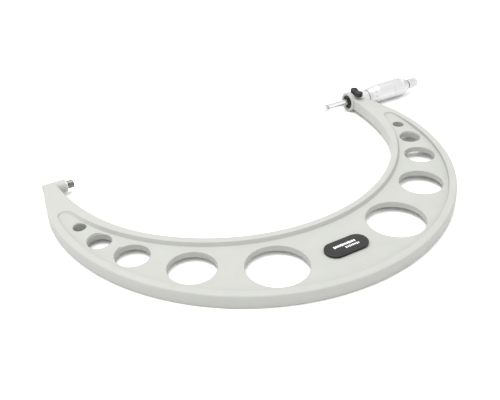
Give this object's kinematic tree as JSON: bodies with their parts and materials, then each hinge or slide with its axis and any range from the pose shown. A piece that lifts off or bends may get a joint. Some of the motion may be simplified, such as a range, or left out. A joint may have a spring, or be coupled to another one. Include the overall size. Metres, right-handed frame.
{
  "type": "outside micrometer",
  "caption": "Large outside micrometer: a deep perforated bow frame with a fixed anvil, a screw-driven spindle in a graduated thimble, a ratchet knob and a spindle lock lever.",
  "frame": {"origin": "centre of the anvil's measuring face", "axes": "+X along the measuring axis from the anvil to the ratchet knob, the bow hangs towards -Y, +Z normal to the front of the frame"},
  "size_m": [0.3973, 0.2334, 0.0215],
  "materials": {
    "frame_paint": "fine textured light grey paint",
    "carbide": "lapped",
    "ground_steel": "ground and polished",
    "satin_chrome": "satin",
    "plain_steel": "turned",
    "black_plastic": "gloss",
    "black_oxide": "semi-gloss black",
    "brass": "turned"
  },
  "bodies": {
    "frame": {"frame": "frame_paint", "anvil": "ground_steel", "anvil_tip": "carbide", "badge_plate": "black_plastic", "seal_ring": "black_oxide", "stem": "plain_steel", "adjusting_nut": "plain_steel", "graduated_sleeve": "satin_chrome", "lever_washer": "plain_steel"},
    "spindle_nose": {"spindle_tip": "carbide"},
    "spindle": {"spindle": "ground_steel", "thimble": "satin_chrome", "ratchet_base": "plain_steel", "ratchet_screw": "plain_steel"},
    "ratchet_knob": {"ratchet_knob": "satin_chrome", "ratchet_spring": "plain_steel"},
    "ratchet_crown": {"ratchet_crown": "plain_steel"},
    "lock_lever": {"lock_lever": "black_oxide", "lock_screw": "black_oxide"},
    "lock_pad": {"lock_pad": "brass"}
  },
  "joints": [
    {"name": "spindle_feed", "type": "slide", "parent": "frame", "child": "spindle_nose", "axis": [1, 0, 0], "range_m": [0, 0.025]},
    {"name": "spindle_turn", "type": "hinge", "parent": "spindle_nose", "child": "spindle", "pos_m": [0.3, 0, 0], "axis": [1, 0, 0], "range_deg": [0, 18001]},
    {"name": "ratchet_turn", "type": "hinge", "parent": "spindle", "child": "ratchet_knob", "pos_m": [0.356, 0, 0], "axis": [1, 0, 0], "continuous": true},
    {"name": "crown_lift", "type": "slide", "parent": "ratchet_knob", "child": "ratchet_crown", "axis": [1, 0, 0], "range_m": [0, 0.0005], "deforming": ["ratchet_spring"]},
    {"name": "lock_turn", "type": "hinge", "parent": "frame", "child": "lock_lever", "pos_m": [0.2841, 0, 0.01], "axis": [0, 0, 1], "range_deg": [0, 60]},
    {"name": "lock_pad_press", "type": "slide", "parent": "frame", "child": "lock_pad", "axis": [0, 0, -1], "range_m": [0, 0.0001298]}
  ],
  "couplings": [
    {"joint": "spindle_turn", "follows": "spindle_feed", "rad_per_m": 12566},
    {"joint": "lock_turn", "follows": "lock_pad_press", "rad_per_m": 8064.5}
  ]
}
